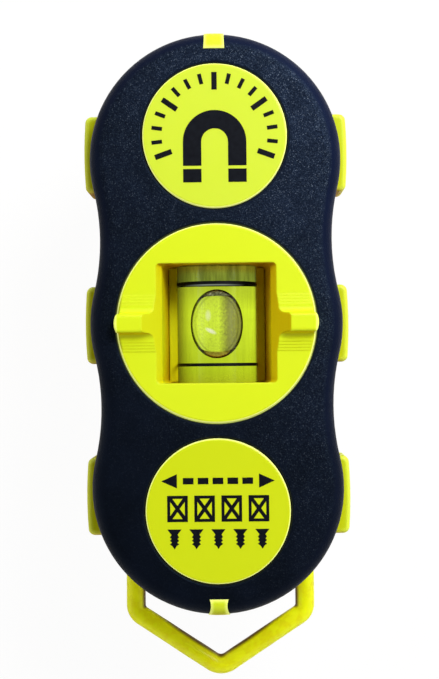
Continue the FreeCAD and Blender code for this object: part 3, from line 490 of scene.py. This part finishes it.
def acrylic():
    """The vial's tube. Its outside bends light; its bore hardly does, against the liquid.

    The colour of its front is a painted reflection of the pit's walls, bent in it, with painted shade darker
    to one side and towards the ends, and faint painted streaks of reflection along the tube."""
    s = Shader("clear_acrylic")
    x, y, z = s.axes()
    in_bore = s.math("LESS_THAN", axis_distance(s, x, z), (BORE_RADIUS + VIAL_RADIUS) / 2)
    index = s.mix(in_bore, (ACRYLIC_INDEX,) * 3, (ACRYLIC_INDEX / LIQUID_INDEX,) * 3)
    # painted reflection and shade on the tube's front: darker at its sides, most on the -X side, and towards
    # the ends
    from_side = s.span(x, -VIAL_RADIUS, VIAL_RADIUS)
    across = s.ramp(
        from_side,
        (0.0, (0.30, 0.25, 0.25)), (0.05, (0.45, 0.40, 0.35)), (0.13, (0.78, 0.76, 0.6)),
        (0.24, (0.98, 0.98, 1.0)), (0.8, (1.04, 1.04, 1.0)), (0.97, (1.1, 1.1, 0.9)),
        (1.0, (0.5, 0.42, 0.6)),
    )
    along = s.ramp(
        s.span(y, -TINT_HALF_LENGTH, TINT_HALF_LENGTH),
        (0.0, (0.66, 0.60, 0.4)), (0.1, (0.78, 0.77, 0.5)), (0.3, (0.90, 0.90, 0.8)),
        (0.5, (1.04, 1.04, 1.0)), (0.62, (1.04, 1.04, 1.0)), (0.78, (0.80, 0.78, 0.9)),
        (0.84, (0.72, 0.70, 1.0)), (0.85, (0.38, 0.39, 1.0)), (0.93, (0.35, 0.33, 0.9)),
        (0.97, (0.34, 0.24, 0.4)),
    )
    # painted streaks of reflection along the tube, stronger beyond the line
    streaks = s.ramp(s.noise(1100.0, 3.0, 0.6, s.stretched((1.0, 0.08, 1.0))), (0.3, 0.86), (0.7, 1.0))
    strong = s.ramp(s.noise(900.0, 3.0, 0.7, s.stretched((1.0, 0.12, 0.3))), (0.35, 0.62), (0.68, 1.25))
    beyond_line = s.math("GREATER_THAN", y, LINE_Y)
    tint = s.mix(1.0, s.mix(1.0, across, along, "MULTIPLY"), streaks, "MULTIPLY")
    tint = s.mix(beyond_line, tint, s.mix(1.0, tint, strong, "MULTIPLY"))
    front = s.math("MULTIPLY", is_above_axis(s, z), s.math("SUBTRACT", 1.0, in_bore))
    # a dark band painted where the line's far side shows through, with a painted highlight across its middle
    below_line = s.math("LESS_THAN", y, LINE_Y)
    inner_side = s.math("MULTIPLY", below_line, s.math("GREATER_THAN", y, LINE_Y - LINE_SEEN_THROUGH))
    tint = s.mix(inner_side, tint, (0.12, 0.12, 0.4))
    shown = s.mix(front, (1.0, 1.0, 1.0), tint)
    glass = s.node("BsdfGlass", {"Color": shown, "Roughness": 0.0, "IOR": index})
    middle = s.ramp(from_side, (0.1, 0.0), (0.35, 0.9), (0.6, 0.9), (0.85, 0.0))
    sheen = s.node("Emission", {"Color": (0.19, 0.23, 0.18), "Strength": 1.0})
    amount = s.math("MULTIPLY", s.math("MULTIPLY", inner_side, front), middle)
    let_light_through(s, s.mix_shaders(amount, glass.outputs[0], sheen.outputs[0]), (0.97, 0.98, 0.93))
    return s


def liquid():
    """Yellow-green spirit, shown as painted light given off by the far side of the bore. Its near side is
    clear.
    """
    s = Shader("level_fluid")
    x, y, z = s.axes()
    back = s.node("NewGeometry").outputs["Backfacing"]
    wall = s.math("GREATER_THAN", axis_distance(s, x, z), BORE_RADIUS * 0.93)
    below = s.math("SUBTRACT", 1.0, is_above_axis(s, z))
    off_line = s.math("ABSOLUTE", s.math("SUBTRACT", s.math("ABSOLUTE", y), LINE_Y))
    clear_of_line = s.math("GREATER_THAN", off_line, LINE_HALF_WIDTH * 0.85)
    shown = s.math("MULTIPLY", s.math("MULTIPLY", back, wall), s.math("MULTIPLY", below, clear_of_line))
    # painted light: the bore's far side gives off the liquid's colour, except at the lines
    tone = s.ramp(s.noise(420.0, 3.0), (0.3, tuple(c * 0.9 for c in LIQUID_PAINTED_GLOW)), (0.7, LIQUID_PAINTED_GLOW))
    glow = s.node("Emission", {"Color": tone, "Strength": 1.0})
    clear = s.node("BsdfTransparent", {"Color": (1.0, 1.0, 1.0)})
    s.finish(s.mix_shaders(shown, clear.outputs[0], glow.outputs[0]))
    return s


def soft_spot(s, x, y, middle, reach):
    """1 at a place on the bubble, falling to 0 at the given half widths."""
    off_x = s.math("DIVIDE", s.math("SUBTRACT", x, middle[0]), reach[0])
    off_y = s.math("DIVIDE", s.math("SUBTRACT", y, middle[1]), reach[1])
    square = s.math("ADD", s.math("MULTIPLY", off_x, off_x), s.math("MULTIPLY", off_y, off_y))
    return s.math("SUBTRACT", 1.0, square, clamp=True)


def gas():
    """The bubble: it bends light less than the liquid. Painted shade darkens its rim, and a painted
    reflection clouds one side.

    Two painted lamp highlights lie on it, and painted light fills the crescents at its ends."""
    s = Shader("bubble_gas")
    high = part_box("vial_bubble")[1]
    x, y, _ = s.axes()
    across, along = s.math("DIVIDE", x, high.x), s.math("DIVIDE", y, high.y)
    rim = s.math("SQRT", s.math("ADD", s.math("MULTIPLY", across, across), s.math("MULTIPLY", along, along)))
    # painted shade round the rim
    outline = s.ramp(rim, (0.80, 1.0), (0.86, 0.8), (0.885, 1.0), (0.935, 0.9), (0.965, 0.25), (1.0, 0.12))
    # painted reflection that clouds the +X side
    speckle = s.math("MULTIPLY", s.math("SUBTRACT", s.noise(3000.0, 2.0, 0.7), 0.5), 1.4)
    side = s.math("ADD", s.span(x, 0.2 * MM, 1.6 * MM), speckle, clamp=True)
    tint = s.mix(side, (1.06, 1.06, 1.3), (0.66, 0.60, 1.3))
    back = s.node("NewGeometry").outputs["Backfacing"]
    front = s.math("SUBTRACT", 1.0, back)
    colour = s.mix(1.0, tint, outline, "MULTIPLY")
    near_side = s.node("BsdfGlass", {"Color": colour, "Roughness": 0.0, "IOR": 1.0 / LIQUID_INDEX})
    far_side = s.node("BsdfRefraction", {"Color": colour, "Roughness": 0.0, "IOR": 1.0 / LIQUID_INDEX})
    glass = s.mix_shaders(back, near_side.outputs[0], far_side.outputs[0])
    # painted lamp highlights, on the near side only
    upper = s.math("MULTIPLY", soft_spot(s, x, y, UPPER_LAMP, UPPER_LAMP_SIZE), UPPER_LAMP_SHINE)
    slant_y = s.math("ADD", y, s.math("MULTIPLY", x, LOWER_LAMP_SLANT))
    lower = s.math("MULTIPLY", soft_spot(s, x, slant_y, LOWER_LAMP, LOWER_LAMP_SIZE), LOWER_LAMP_SHINE)
    lamps = s.math("MULTIPLY", s.math("MAXIMUM", upper, lower), front)
    shine = s.node("Emission", {"Color": (1.0, 1.0, 0.8), "Strength": 1.0})
    # painted light in the crescents at the ends
    beyond = s.ramp(s.math("ABSOLUTE", along), (0.785, 0.0), (0.82, 1.0))
    within = s.ramp(rim, (0.92, 1.0), (0.96, 0.0))
    ends = s.math("MULTIPLY", s.math("MULTIPLY", beyond, within), s.math("MULTIPLY", front, 0.7))
    at_top = s.math("GREATER_THAN", along, 0.0)
    crescent_noise = s.noise(3200.0, 2.0, 0.6)
    top_tone = s.ramp(crescent_noise, (0.35, (0.10, 0.11, 0.04)), (0.6, (0.30, 0.33, 0.14)), (0.72, (0.75, 0.80, 0.55)))
    low_tone = s.ramp(crescent_noise, (0.3, (0.26, 0.20, 0.02)), (0.7, (0.55, 0.50, 0.06)))
    end_light = s.node("Emission", {"Color": s.mix(at_top, low_tone, top_tone), "Strength": 1.0})
    capped = s.mix_shaders(ends, glass, end_light.outputs[0])
    lit = s.mix_shaders(lamps, capped, shine.outputs[0])
    let_light_through(s, lit, (1.0, 1.0, 1.0))
    return s


# ---------------------------------------------------------------- mesh helpers


def new_piece(name, mesh, body, shader):
    """Turns a bmesh into a smooth piece that rides on a body."""
    bmesh.ops.recalc_face_normals(mesh, faces=mesh.faces)
    data = bpy.data.meshes.new(name)
    mesh.to_mesh(data)
    mesh.free()
    for face in data.polygons:
        face.use_smooth = True
    piece = bpy.data.objects.new(name, data)
    bpy.context.scene.collection.objects.link(piece)
    paint(piece, shader)
    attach(piece, body)
    return piece


def join_rings(mesh, rings):
    """Faces between rings of vertices. A ring of one vertex closes the end."""
    for low, high in zip(rings, rings[1:]):
        count = max(len(low), len(high))
        for i in range(count):
            j = (i + 1) % count
            corners = [low[i % len(low)], low[j % len(low)], high[j % len(high)], high[i % len(high)]]
            mesh.faces.new(list(dict.fromkeys(corners)))


def flat_print(name, outlines, disc_top, shader):
    """A film of ink on a disc, with closed outlines. An outline inside another is a hole."""
    thick = INK_SINK + INK_THICK
    curve = bpy.data.curves.new(name, "CURVE")
    curve.dimensions = "2D"
    curve.fill_mode = "BOTH"
    curve.extrude = thick / 2
    for outline in outlines:
        spline = curve.splines.new("POLY")
        spline.points.add(len(outline) - 1)
        for point, (x, y) in zip(spline.points, outline):
            point.co = (x, y, 0.0, 1.0)
        spline.use_cyclic_u = True
    holder = bpy.data.objects.new(name + "_outline", curve)
    bpy.context.scene.collection.objects.link(holder)
    bpy.context.view_layer.update()
    filled = bpy.data.meshes.new_from_object(holder.evaluated_get(bpy.context.evaluated_depsgraph_get()))
    bpy.data.objects.remove(holder)
    bpy.data.curves.remove(curve)
    mesh = bmesh.new()
    mesh.from_mesh(filled)
    bpy.data.meshes.remove(filled)
    bmesh.ops.remove_doubles(mesh, verts=mesh.verts, dist=1e-7)
    bmesh.ops.translate(mesh, verts=mesh.verts, vec=(0, 0, disc_top - INK_SINK + thick / 2))
    piece = new_piece(name, mesh, "housing", shader)
    for face in piece.data.polygons:
        face.use_smooth = False
    return piece


# ---------------------------------------------------------------- studio


def towards_key():
    """The direction from the tool to the key light."""
    level = math.cos(KEY_ELEVATION)
    return Vector((level * math.cos(KEY_AZIMUTH), level * math.sin(KEY_AZIMUTH), math.sin(KEY_ELEVATION)))


def sky():
    """A soft ring of light all round, and dark overhead."""
    world = bpy.data.worlds.new("studio")
    world.use_nodes = True
    tree = world.node_tree
    background = tree.nodes["Background"]
    direction = tree.nodes.new("ShaderNodeTexCoord").outputs["Generated"]
    split = tree.nodes.new("ShaderNodeSeparateXYZ")
    tree.links.new(direction, split.inputs[0])
    ring = tree.nodes.new("ShaderNodeValToRGB")
    stops = ring.color_ramp.elements
    stops[0].position, stops[0].color = SKY_RING_END, (SKY_LIGHT,) * 3 + (1.0,)
    stops[1].position, stops[1].color = SKY_OVERHEAD_START, (SKY_OVERHEAD,) * 3 + (1.0,)
    tree.links.new(split.outputs["Z"], ring.inputs["Fac"])
    tree.links.new(ring.outputs["Color"], background.inputs["Color"])
    bpy.context.scene.world = world


def floor():
    """A pale floor. The camera sees it almost shadowless, and can look through it from below."""
    mesh = bmesh.new()
    bmesh.ops.create_grid(mesh, x_segments=8, y_segments=8, size=FLOOR_HALF_SIZE)
    data = bpy.data.meshes.new("floor")
    mesh.to_mesh(data)
    mesh.free()
    plane = bpy.data.objects.new("floor", data)
    plane.location.z = cad_box[0].z - FLOOR_DROP
    bpy.context.scene.collection.objects.link(plane)
    s = Shader("floor")
    s.set(base_color=s.ramp(s.noise(3.0), (0.2, 0.88), (0.8, 0.93)), roughness=0.9)
    glow = s.node("Emission", {"Color": (1.0, 1.0, 1.0), "Strength": FLOOR_GLOW})
    seen = s.math("MULTIPLY", s.node("LightPath").outputs["Is Camera Ray"], FLOOR_GLOW_SHARE)
    shown = s.mix_shaders(seen, s.bsdf.outputs[0], glow.outputs[0])
    clear = s.node("BsdfTransparent")
    back = s.node("NewGeometry").outputs["Backfacing"]
    s.put(s.output.inputs["Surface"], s.mix_shaders(back, shown, clear.outputs[0]))
    paint(plane, s)


def key_light():
    """A square lamp that faces the tool."""
    light = bpy.data.lights.new("key", "AREA")
    light.size = KEY_SIZE
    light.energy = KEY_LIGHT * (math.pi * KEY_DISTANCE) ** 2 / math.sin(KEY_ELEVATION)
    lamp = bpy.data.objects.new("key", light)
    lamp.location = towards_key() * KEY_DISTANCE
    lamp.rotation_euler = towards_key().to_track_quat("Z", "Y").to_euler()
    bpy.context.scene.collection.objects.link(lamp)


def camera():
    """The camera, which looks almost straight down on the tool's front."""
    lens = bpy.data.cameras.new("camera")
    lens.lens = LENS_MM
    holder = bpy.data.objects.new("camera", lens)
    ahead = (CAMERA_AIM - CAMERA_PLACE).normalized()
    across = Vector((math.cos(CAMERA_ROLL), math.sin(CAMERA_ROLL), 0))
    side = (across - ahead * across.dot(ahead)).normalized()
    turn = Matrix((side, side.cross(ahead), -ahead)).transposed()
    holder.matrix_world = Matrix.Translation(CAMERA_PLACE) @ turn.to_4x4()
    bpy.context.scene.collection.objects.link(holder)
    bpy.context.scene.camera = holder


# ---------------------------------------------------------------- disc prints


def polygon(points, centre=(0.0, 0.0), turn=0.0):
    """Points in millimetres, turned and moved, as metres."""
    c, s = math.cos(turn), math.sin(turn)
    return [((centre[0] + x * c - y * s) * MM, (centre[1] + x * s + y * c) * MM) for x, y in points]


def oblong(width, height, centre=(0.0, 0.0), turn=0.0):
    """A rectangle with its size in millimetres, given as polygon() gives it."""
    w, h = width / 2, height / 2
    return polygon([(-w, -h), (w, -h), (w, h), (-w, h)], centre, turn)


def arc_points(radius, start, end, count):
    """Points on an arc about the origin, between two angles in degrees."""
    points = []
    for i in range(count + 1):
        a = math.radians(start + (end - start) * i / count)
        points.append((radius * math.cos(a), radius * math.sin(a)))
    return points


def disc_centre(node):
    """A disc's centre in millimetres, and the height of its top in metres."""
    low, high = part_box(node)
    return (low.x + high.x) / 2 / MM, (low.y + high.y) / 2 / MM, high.z


def horseshoe(cx, cy):
    """A horseshoe magnet with its poles down, in three pieces: the bow and two pole ends."""
    outer, inner, leg, pole, split = 4.5, 1.9, 3.4, 1.9, 0.45
    bow = arc_points(outer, 0, 180, 28) + [(-outer, -leg), (-inner, -leg)]
    bow += arc_points(inner, 180, 0, 16) + [(inner, -leg), (outer, -leg)]
    shapes = [polygon(bow, (cx, cy))]
    for side in (-1, 1):
        middle = side * (outer + inner) / 2
        shapes.append(oblong(outer - inner, pole, (cx + middle, cy - leg - split - pole / 2)))
    return shapes


def strength_ticks(cx, cy):
    """Long and short ticks round the disc's upper edge."""
    count, first, last, rim = 17, 200.0, -20.0, 9.0
    shapes = []
    for i in range(count):
        angle = math.radians(first + (last - first) * i / (count - 1))
        length, width = (2.5, 0.75) if i % 4 == 0 else (1.5, 0.55)
        middle = rim - length / 2
        centre = (cx + middle * math.cos(angle), cy + middle * math.sin(angle))
        shapes.append(oblong(length, width, centre, angle))
    return shapes


def slide_arrow(cx, cy):
    """A broken line with an arrowhead at each end."""
    reach, half, head = 8.0, 1.0, 2.2
    dash, thick, pitch = 1.5, 0.9, 2.1
    shapes = []
    for side in (-1, 1):
        foot = side * (reach - head)
        shapes.append(polygon([(side * reach, 0), (foot, half), (foot, -half)], (cx, cy)))
    for i in range(-2, 3):
        shapes.append(oblong(dash, thick, (cx + i * pitch, cy)))
    return shapes


def stud_sections(cx, cy):
    """Four crossed boxes, the usual sign for a timber cut across."""
    width, height, pitch, border, bar = 2.9, 3.7, 3.83, 0.42, 0.5
    shapes = []
    w, h = width / 2 - border, height / 2 - border
    slant = bar / 2 * math.hypot(w, h)
    x_in, y_in = slant / h, slant / w
    for i in range(4):
        centre = (cx + (i - 1.5) * pitch, cy)
        shapes.append(oblong(width, height, centre))
        for side in (-1, 1):
            upright = [(side * w, -h + y_in), (side * w, h - y_in), (side * x_in, 0)]
            level = [(-w + x_in, side * h), (w - x_in, side * h), (0, side * y_in)]
            shapes += [polygon(upright, centre), polygon(level, centre)]
    return shapes


def screw_row(cx, cy):
    """Five screws seen from the side, point down."""
    half, head, shank, pitch = 1.4, 1.0, 0.42, 3.1
    head_height, thread_start, turns, turn_pitch = 0.75, 0.95, 3, 0.5
    crest, crest_drop, root_drop, taper = 0.22, 0.14, 0.38, 0.06
    shapes = []
    for i in range(5):
        right = [(head, half), (shank, half - head_height)]
        for turn in range(turns):
            y = half - thread_start - turn * turn_pitch
            right += [(shank + crest, y - crest_drop), (shank - taper * turn, y - root_drop)]
        left = [(-x, y) for x, y in reversed(right)]
        shapes.append(polygon(left + right + [(0, -half)], (cx + (i - 2) * pitch, cy)))
    return shapes


def disc_prints():
    """The signs on the two discs."""
    black = ink()
    magnet_drop = 0.9
    arrow_row, stud_row, screw_line = 4.3, 0.4, -3.9
    x, y, top = disc_centre("upper_face_disc")
    shapes = horseshoe(x, y - magnet_drop) + strength_ticks(x, y)
    flat_print("upper_disc_print", shapes, top, black)
    x, y, top = disc_centre("lower_face_disc")
    shapes = slide_arrow(x, y + arrow_row) + stud_sections(x, y + stud_row) + screw_row(x, y + screw_line)
    flat_print("lower_disc_print", shapes, top, black)


# ---------------------------------------------------------------- soft discs


def soft_disc(name, node, shader, pore, depth, rings, steps):
    """A felt or foam disc in place of a CAD node: round-edged and sunk all over by pores of a given size."""
    low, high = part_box(node)
    centre = (low + high) / 2
    radius, half = (high.x - low.x) / 2, (high.z - low.z) / 2
    edge = half * 0.8
    edge_steps = 8
    flat = radius - edge
    profile = [(0.0, -half)]
    profile += [(flat * i / rings, -half) for i in range(1, rings)]
    for i in range(edge_steps + 1):
        a = math.radians(-90 + 180 / edge_steps * i)
        rise = math.sin(a)
        profile.append((flat + edge * math.cos(a), math.copysign(half - edge, rise) + edge * rise))
    profile += [(flat * i / rings, half) for i in range(rings - 1, 0, -1)]
    profile.append((0.0, half))
    mesh = bmesh.new()
    rows = []
    for r, z in profile:
        count = steps if r > 0 else 1
        row = []
        for i in range(count):
            a = 2 * math.pi * i / count
            p = Vector((r * math.cos(a), r * math.sin(a), z))
            coarse = 0.5 + 0.5 * noise.noise((centre + p) / pore)
            sink = depth * coarse + depth * 0.4 * noise.noise(p / (pore * 0.37))
            outward = Vector((p.x / radius, p.y / radius, 0)) * (r / radius) ** 8 + Vector((0, 0, z / half))
            p -= outward.normalized() * max(sink, 0.0)
            row.append(mesh.verts.new(centre + p))
        rows.append(row)
    join_rings(mesh, rows)
    piece = new_piece(name, mesh, "housing", shader)
    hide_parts(node)


def soft_discs():
    """The felt pads, which are finely fuzzy, and the foam discs, which have larger and deeper pores."""
    felt = soft_black("black_felt", (0.040, 0.040, 0.043), 2600.0, 0.2 * MM)
    foam = soft_black("grey_foam", (0.10, 0.10, 0.105), 1800.0, 0.2 * MM)
    for end in ("upper", "lower"):
        soft_disc(end + "_felt", end + "_felt_pad", felt, 0.22 * MM, 0.07 * MM, 70, 260)
        soft_disc(end + "_foam", end + "_foam_disc", foam, 0.5 * MM, 0.22 * MM, 46, 180)


# ---------------------------------------------------------------- bail coat


def bail_path():
    """The bail's centre line from eye to eye, as closely spaced points."""
    low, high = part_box("bail_sleeve")
    pivot = Vector(JOINTS["bail_swing"]["pos_m"])
    half = high.x - COAT_RADIUS
    spread = math.pi / 2 - BAIL_SLOPE
    tip_y = low.y + COAT_RADIUS - BAIL_TIP_ROUND * (1 / math.sin(spread) - 1)
    shoulder_y = tip_y + half * math.tan(BAIL_SLOPE)
    start_x = half - BAIL_EYE_RUN
    bend_steps = 12
    places = [
        (start_x, pivot.y, 0.0), (half, pivot.y, BAIL_CORNER), (half, shoulder_y, BAIL_CORNER),
        (0.0, tip_y, BAIL_TIP_ROUND), (-half, shoulder_y, BAIL_CORNER), (-half, pivot.y, BAIL_CORNER),
        (-start_x, pivot.y, 0.0),
    ]
    corners = [(Vector((x, y, pivot.z)), r) for x, y, r in places]
    points = [corners[0][0]]
    for (before, _), (corner, radius), (after, _) in zip(corners, corners[1:], corners[2:]):
        back, ahead = (before - corner).normalized(), (after - corner).normalized()
        half_angle = back.angle(ahead) / 2
        middle = (back + ahead).normalized()
        centre = corner + middle * (radius / math.sin(half_angle))
        run = radius / math.tan(half_angle)
        first, last = corner + back * run - centre, corner + ahead * run - centre
        for i in range(bend_steps + 1):
            points.append(centre + first.slerp(last, i / bend_steps) * radius)
    points.append(corners[-1][0])
    return points


def evenly_spaced(points, gap):
    """Points at even steps along a line of points."""
    spaced, left = [points[0]], gap
    for a, b in zip(points, points[1:]):
        length = (b - a).length
        while length >= left > 0:
            a = a.lerp(b, left / length)
            spaced.append(a)
            length = (b - a).length
            left = gap
        left -= length
    return spaced


def bail_coat():
    """Dipped vinyl over the wire, a little thicker towards the tip and slightly wavy, with round ends."""
    path = evenly_spaced(bail_path(), COAT_GAP)
    top_y, tip_y = path[0].y, min(p.y for p in path)
    steps = 40
    mesh = bmesh.new()
    rings = []
    up = Vector((0, 0, 1))
    last = len(path) - 1
    for i, p in enumerate(path):
        along = (path[min(i + 1, last)] - path[max(i - 1, 0)]).normalized()
        side = along.cross(up).normalized()
        sag = (top_y - p.y) / (top_y - tip_y)
        radius = COAT_RADIUS - COAT_THINNING * (1 - sag)
        from_end = min(i, last - i) * COAT_GAP
        if from_end < radius:
            radius *= math.sqrt(max(1 - (1 - from_end / radius) ** 2, 0.0)) * 0.35 + 0.65
        ring = []
        for k in range(steps):
            a = 2 * math.pi * k / steps
            out = side * math.cos(a) + up * math.sin(a)
            wave = COAT_WAVE * (noise.noise((p + out * radius) / COAT_WAVE_LENGTH) - 1)
            ring.append(mesh.verts.new(p + out * (radius + wave)))
        rings.append(ring)
    rings.insert(0, [mesh.verts.new(path[0])])
    rings.append([mesh.verts.new(path[-1])])
    join_rings(mesh, rings)
    piece = new_piece("bail_vinyl_coat", mesh, "bail", vinyl())
    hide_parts("bail_sleeve")


# ---------------------------------------------------------------- pieces


def paint_frame():
    """Materials for the CAD nodes that are shown as they are."""
    paint("front_cover", navy_plastic())
    paint("rear_housing", yellow_plastic())
    paint("dial_base", yellow_plastic("cradle_plastic", edge=no_edges, painted_shade=cradle_light))
    paint("level_dial", yellow_plastic("dial_plastic", edge=dial_edge, painted_shade=window_slope))
    # each disc gets its own tone, which carries painted light
    for node, tone in DISC_YELLOWS_AS_LIT.items():
        low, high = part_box(node)
        middle, radius = abs(low.y + high.y) / 2, (high.x - low.x) / 2
        paint(node, yellow_plastic(
            node, grain=0.1, rough=0.34, open_tone=tone, edge=lambda s: round_edge(s, middle, radius)
        ))
    nickel = metal("nickel_plate", (0.74, 0.72, 0.67), 0.16)
    for node in ("upper_magnet", "lower_magnet"):
        paint(node, nickel)
    paint("housing_screws", metal("zinc_steel", (0.66, 0.68, 0.70), 0.28, (1.0, 1.0, 0.1)))
    paint("bail_wire", metal("bare_steel", (0.52, 0.51, 0.50), 0.35, (0.1, 1.0, 1.0)))
    paint("dial_friction_ring", soft_black("black_rubber", (0.02, 0.02, 0.02), 1200.0, 0.02 * MM))
    paint("vial_plug", yellow_plastic("plug_plastic"))
    paint("vial_lines", ink())
    paint("vial_tube", acrylic())
    paint("vial_fluid", liquid())
    paint("vial_bubble", gas())


bpy.context.scene.view_settings.view_transform = "Standard"
sky()
floor()
key_light()
camera()
paint_frame()
disc_prints()
soft_discs()
bail_coat()
